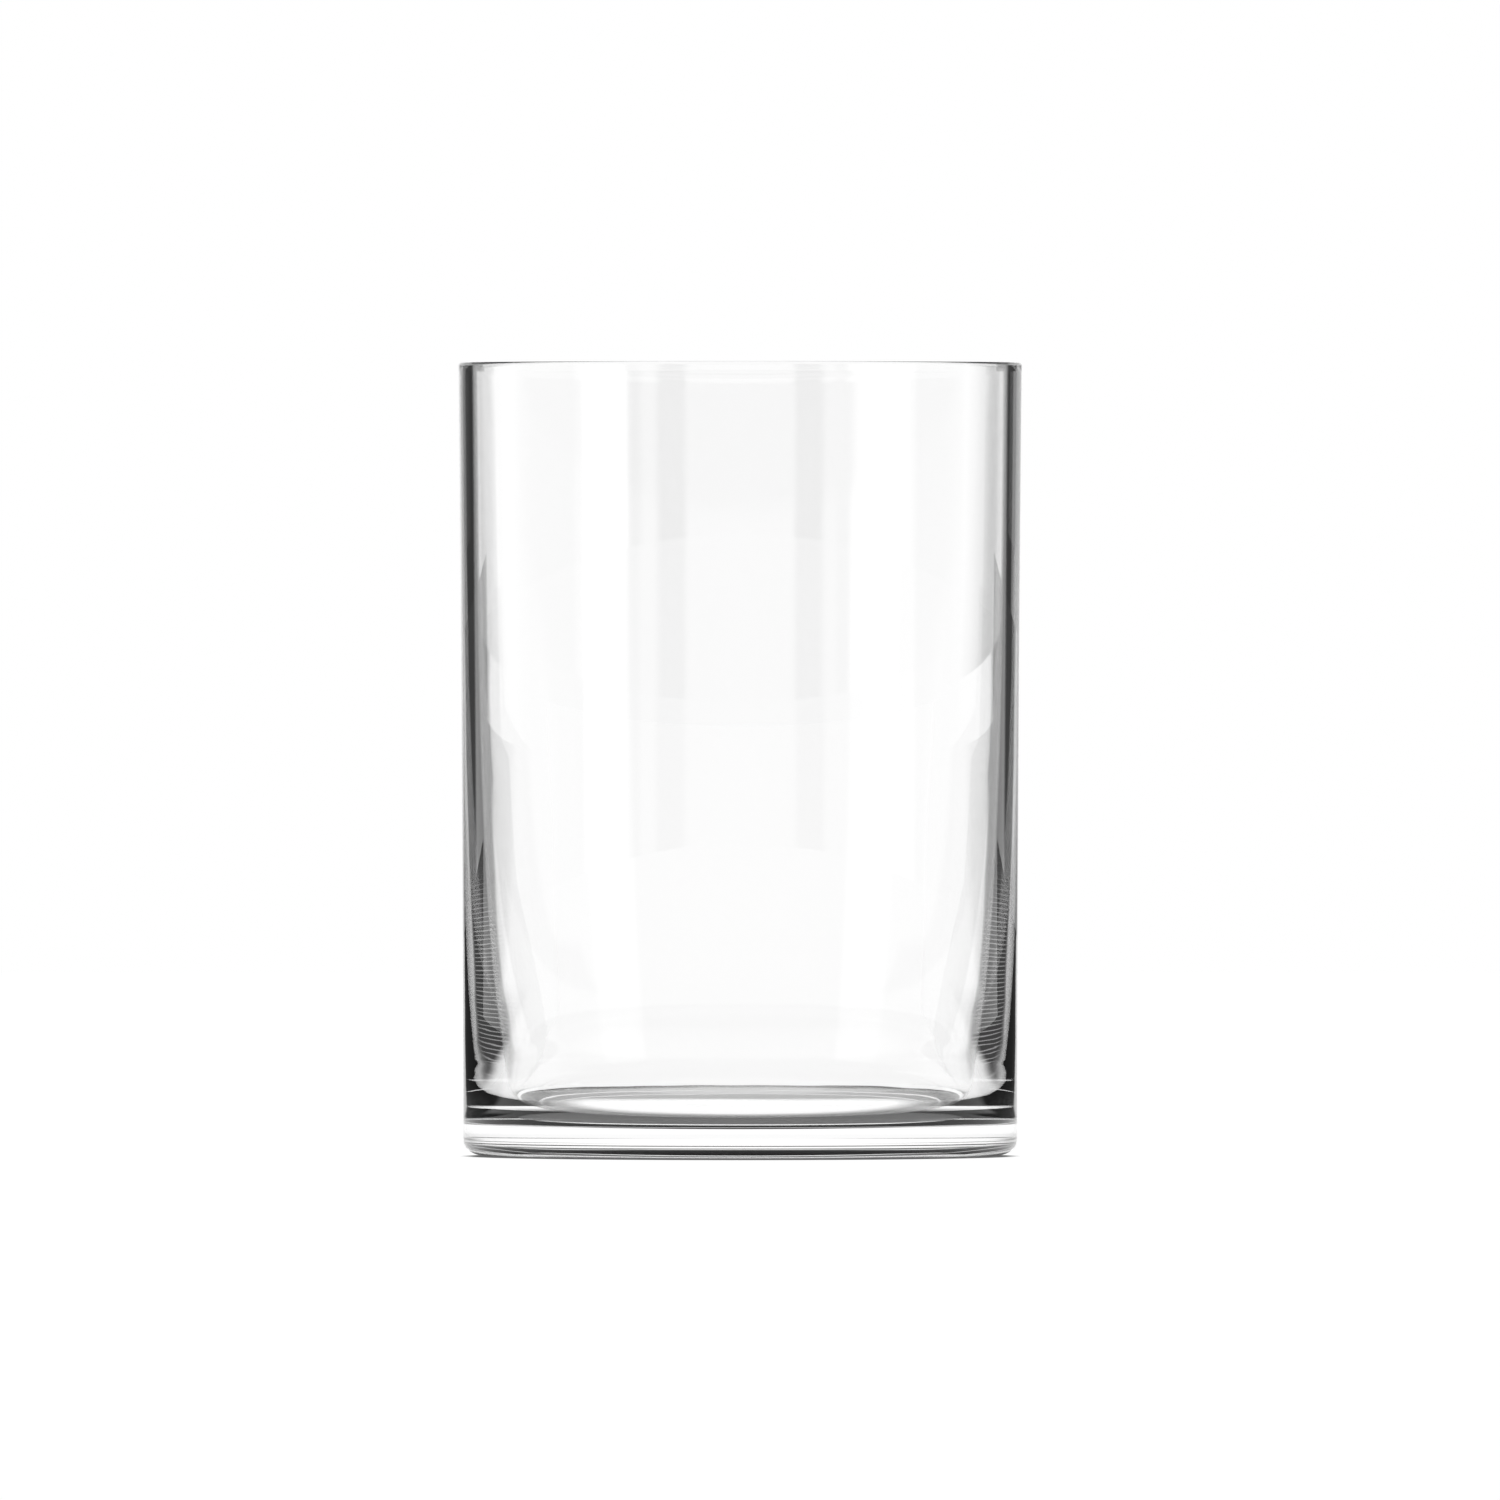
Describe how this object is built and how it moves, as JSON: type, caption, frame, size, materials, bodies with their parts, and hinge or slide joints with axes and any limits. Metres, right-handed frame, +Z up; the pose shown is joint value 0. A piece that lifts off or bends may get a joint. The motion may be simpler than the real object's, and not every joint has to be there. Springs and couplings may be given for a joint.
{
  "type": "glass cylinder vase",
  "caption": "Clear glass cylinder vase, mouth slightly wider than the base, with a flat polished rim, a wall that thickens downwards, a dished heavy floor and a rounded heel.",
  "frame": {"origin": "centre of the standing ring, at table level", "axes": "+Z up the axis of the vase, towards the mouth; X and Y are alike, because the vase is round"},
  "size_m": [0.127, 0.127, 0.1785],
  "materials": {
    "clear_glass": "polished, colourless"
  },
  "bodies": {
    "root": {"glass_vessel": "clear_glass"}
  },
  "joints": []
}
